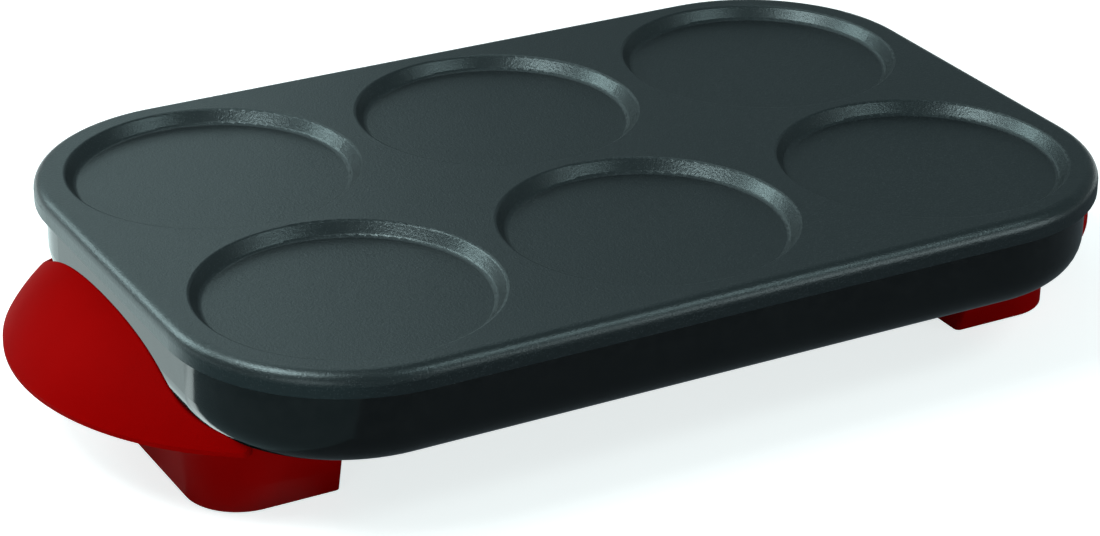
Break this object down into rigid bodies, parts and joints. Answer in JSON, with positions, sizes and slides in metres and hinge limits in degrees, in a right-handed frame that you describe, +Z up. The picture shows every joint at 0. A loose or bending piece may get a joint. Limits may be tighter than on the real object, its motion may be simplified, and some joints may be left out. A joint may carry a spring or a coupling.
{
  "type": "mini pancake maker",
  "caption": "Open-topped electric griddle with round wells in a cast plate, a deep pan with the element below it, and a domed red handle and foot at each end.",
  "frame": {"origin": "middle of the footprint, on the surface that the pads stand on", "axes": "+X along the length towards the end with the mains inlet, +Y from the front to the back, +Z up"},
  "size_m": [0.512, 0.2882, 0.0823],
  "materials": {
    "nonstick_plate": "cast plate with a finely speckled dark non-stick coat, satin",
    "black_enamel": "gloss black paint on pressed steel",
    "red_plastic": "moulded red plastic, soft gloss",
    "dark_plastic": "fine-grained black plastic",
    "pad_rubber": "matt dark rubber",
    "plated_steel": "zinc-plated steel",
    "element_sheath": "heat-darkened stainless sheath",
    "white_ceramic": "unglazed white ceramic",
    "bright_tray": "rolled bright aluminium sheet",
    "brass_tabs": "plain stamped brass",
    "amber_lens": "clear amber plastic",
    "lamp_glass": "clear glass bulb",
    "brown_sleeve": "silicone wire sleeve",
    "blue_sleeve": "silicone wire sleeve",
    "green_sleeve": "silicone wire sleeve"
  },
  "bodies": {
    "base": {"base_pan": "black_enamel", "left_handle": "red_plastic", "right_handle": "red_plastic", "left_cover": "dark_plastic", "right_cover": "dark_plastic", "foot_pads": "pad_rubber", "cover_screws": "plated_steel", "handle_screws": "plated_steel", "handle_nuts": "plated_steel", "heating_element": "element_sheath", "element_beads": "white_ceramic", "element_pins": "plated_steel", "element_clips": "plated_steel", "reflector_tray": "bright_tray", "tray_spacers": "white_ceramic", "tray_screws": "plated_steel", "thermostat_body": "dark_plastic", "thermostat_cap": "bright_tray", "thermostat_tabs": "brass_tabs", "thermostat_bridge": "plated_steel", "thermal_fuse": "white_ceramic", "fuse_wires": "plated_steel", "inlet_housing": "dark_plastic", "inlet_pins": "brass_tabs", "pilot_holder": "dark_plastic", "pilot_lens": "amber_lens", "pilot_lamp": "lamp_glass", "wire_grommet": "pad_rubber", "earth_stud": "plated_steel", "earth_tag": "brass_tabs", "live_wire": "brown_sleeve", "fused_wire": "brown_sleeve", "switched_wire": "brown_sleeve", "neutral_wire": "blue_sleeve", "earth_wire": "green_sleeve", "lamp_wire": "blue_sleeve"},
    "plate": {"cooking_plate": "nonstick_plate"}
  },
  "joints": [
    {"name": "plate_lift", "type": "slide", "parent": "base", "child": "plate", "axis": [0, 0, 1], "range_m": [0, 0.06]}
  ]
}
